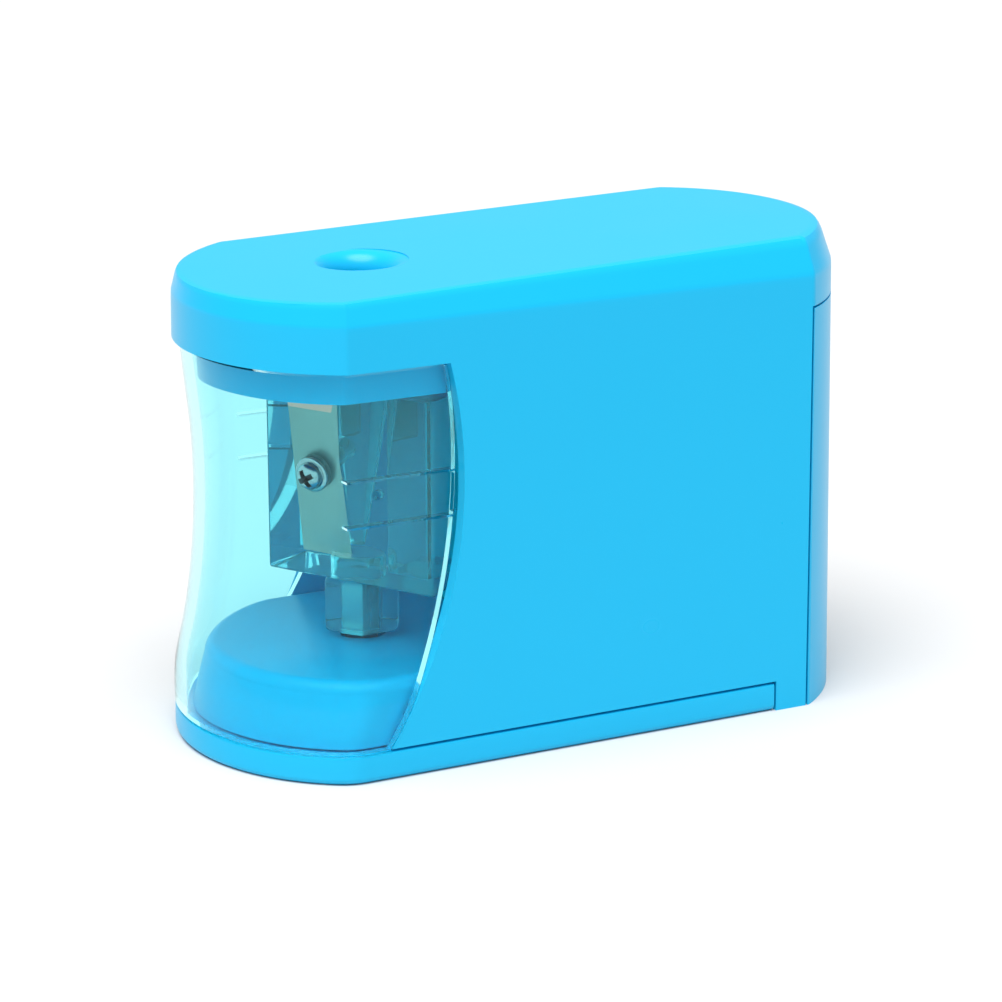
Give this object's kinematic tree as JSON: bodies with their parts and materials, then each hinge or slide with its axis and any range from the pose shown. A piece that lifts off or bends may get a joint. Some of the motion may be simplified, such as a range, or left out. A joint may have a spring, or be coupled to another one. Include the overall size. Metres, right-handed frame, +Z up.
{
  "type": "battery pencil sharpener",
  "caption": "Small upright battery pencil sharpener: pencil funnel in the cap, clear waisted shavings cover, rotating cutter block with steel blade, gear case and rear battery door.",
  "frame": {"origin": "centre of the bounding box's underside, on the table", "axes": "+Z up; +Y towards the rear battery door, so the clear cover and the pencil hole are towards -Y; +X to the right when seen from the front"},
  "size_m": [0.044, 0.0916, 0.0635],
  "materials": {
    "cyan_gloss_plastic": "moulded ABS, satin gloss",
    "cyan_inner_plastic": "moulded ABS, matte",
    "clear_cover_plastic": "clear moulded polystyrene, faint cyan tint",
    "clear_cutter_plastic": "clear moulded polycarbonate",
    "blade_steel": "ground carbon steel",
    "plated_screw": "nickel-plated",
    "zinc_screw": "zinc-plated",
    "shaft_steel": "drawn steel",
    "gear_acetal": "natural acetal",
    "pinion_brass": "machined",
    "motor_steel": "plated drawn steel",
    "black_plastic": "moulded nylon",
    "terminal_brass": "stamped",
    "cell_jacket": "printed-free shrink jacket",
    "nickel_contact": "nickel-plated spring steel",
    "red_insulation": "PVC",
    "black_insulation": "PVC",
    "yellow_insulation": "PVC"
  },
  "bodies": {
    "housing": {"upper_housing": "cyan_gloss_plastic", "inner_chassis": "cyan_inner_plastic", "base_plate": "cyan_gloss_plastic", "gear_cover": "cyan_gloss_plastic", "idler_axle": "shaft_steel", "motor_can": "motor_steel", "motor_end_cap": "black_plastic", "motor_terminal_1": "terminal_brass", "motor_terminal_2": "terminal_brass", "switch_leaf": "terminal_brass", "switch_contact": "terminal_brass", "battery_cell_1": "cell_jacket", "battery_cell_2": "cell_jacket", "link_plate": "nickel_contact", "negative_contact": "nickel_contact", "positive_contact": "nickel_contact", "negative_spring": "nickel_contact", "link_spring": "nickel_contact", "lead_red": "red_insulation", "lead_switch": "black_insulation", "lead_motor": "yellow_insulation", "base_screw_1": "zinc_screw", "base_screw_2": "zinc_screw", "base_screw_3": "zinc_screw", "base_screw_4": "zinc_screw", "gear_cover_screw_1": "zinc_screw", "gear_cover_screw_2": "zinc_screw"},
    "thrust": {"thrust_button": "gear_acetal"},
    "cutter": {"cutter_carrier": "clear_cutter_plastic", "sharpener_blade": "blade_steel", "blade_screw": "plated_screw", "drive_hub": "clear_cutter_plastic", "drive_spindle": "shaft_steel"},
    "output": {"output_gear": "gear_acetal"},
    "idler": {"idler_gear": "gear_acetal"},
    "rotor": {"motor_pinion": "pinion_brass", "motor_shaft": "shaft_steel"},
    "cover": {"window_cover": "clear_cover_plastic"},
    "door": {"battery_door": "cyan_gloss_plastic"}
  },
  "joints": [
    {"name": "pencil_push", "type": "slide", "parent": "housing", "child": "thrust", "axis": [0, 0, 1], "range_m": [-0.0007, 0], "stiffness_N_per_m": 400, "springref_m": 0.002, "deforming": ["switch_leaf"]},
    {"name": "cutter_spin", "type": "hinge", "parent": "thrust", "child": "cutter", "pos_m": [0, -0.02117, 0.03], "axis": [0, 0, 1], "continuous": true},
    {"name": "output_spin", "type": "hinge", "parent": "housing", "child": "output", "pos_m": [0, -0.02117, 0.0067], "axis": [0, 0, 1], "continuous": true},
    {"name": "idler_spin", "type": "hinge", "parent": "housing", "child": "idler", "pos_m": [0, -0.00717, 0.005], "axis": [0, 0, 1], "continuous": true},
    {"name": "motor_spin", "type": "hinge", "parent": "housing", "child": "rotor", "pos_m": [0, 0.00533, 0.005], "axis": [0, 0, 1], "continuous": true},
    {"name": "cover_pull", "type": "slide", "parent": "housing", "child": "cover", "axis": [0, -1, 0], "range_m": [0, 0.04]},
    {"name": "door_pull", "type": "slide", "parent": "housing", "child": "door", "axis": [0, 1, 0], "range_m": [0, 0.02]}
  ],
  "couplings": [
    {"joint": "output_spin", "follows": "cutter_spin", "ratio": 1},
    {"joint": "idler_spin", "follows": "cutter_spin", "ratio": -3.6667},
    {"joint": "motor_spin", "follows": "cutter_spin", "ratio": 14.667}
  ]
}
